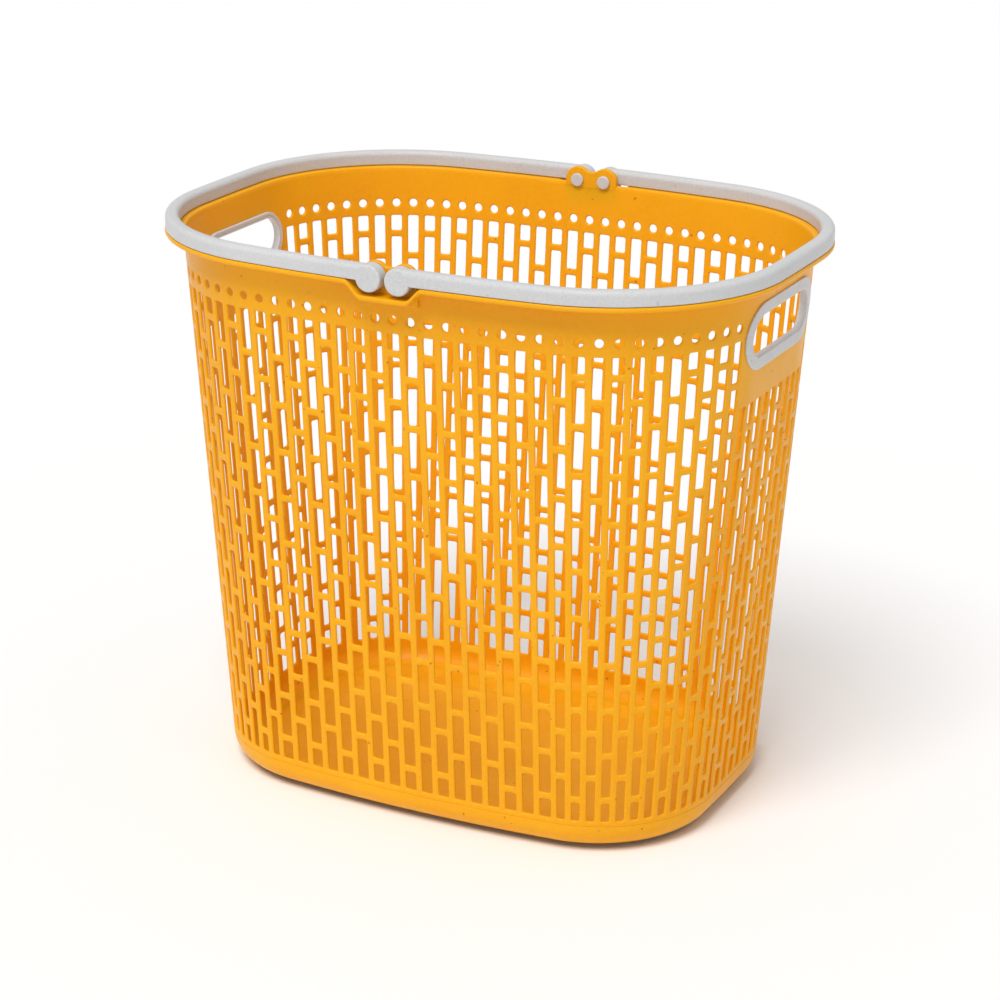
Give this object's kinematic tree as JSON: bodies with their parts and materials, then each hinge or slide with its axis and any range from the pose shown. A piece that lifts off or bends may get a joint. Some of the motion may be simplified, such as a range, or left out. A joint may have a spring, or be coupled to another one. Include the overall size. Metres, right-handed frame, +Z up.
{
  "type": "shopping basket",
  "caption": "Tall tapered lattice basket with two folding carry handles lying along its flange and a framed hand hole in each end wall.",
  "frame": {"origin": "on the floor, under the middle of the basket", "axes": "+X along the basket's length, towards the right-hand end; +Y towards its back long side; +Z up"},
  "size_m": [0.438, 0.326, 0.398],
  "materials": {
    "tub_plastic": "satin",
    "handle_plastic": "satin",
    "grip_plastic": "satin"
  },
  "bodies": {
    "basket": {"basket_body": "tub_plastic", "left_grip_frame": "grip_plastic", "right_grip_frame": "grip_plastic", "left_grip_retainer": "grip_plastic", "right_grip_retainer": "grip_plastic"},
    "left_bail": {"left_handle": "handle_plastic", "left_front_pin": "handle_plastic", "left_back_pin": "handle_plastic"},
    "right_bail": {"right_handle": "handle_plastic", "right_front_pin": "handle_plastic", "right_back_pin": "handle_plastic"}
  },
  "joints": [
    {"name": "left_handle_hinge", "type": "hinge", "parent": "basket", "child": "left_bail", "pos_m": [-0.0103, 0, 0.3886], "axis": [0, 1, 0], "range_deg": [0, 90]},
    {"name": "right_handle_hinge", "type": "hinge", "parent": "basket", "child": "right_bail", "pos_m": [0.0103, 0, 0.3886], "axis": [0, -1, 0], "range_deg": [0, 90]}
  ]
}
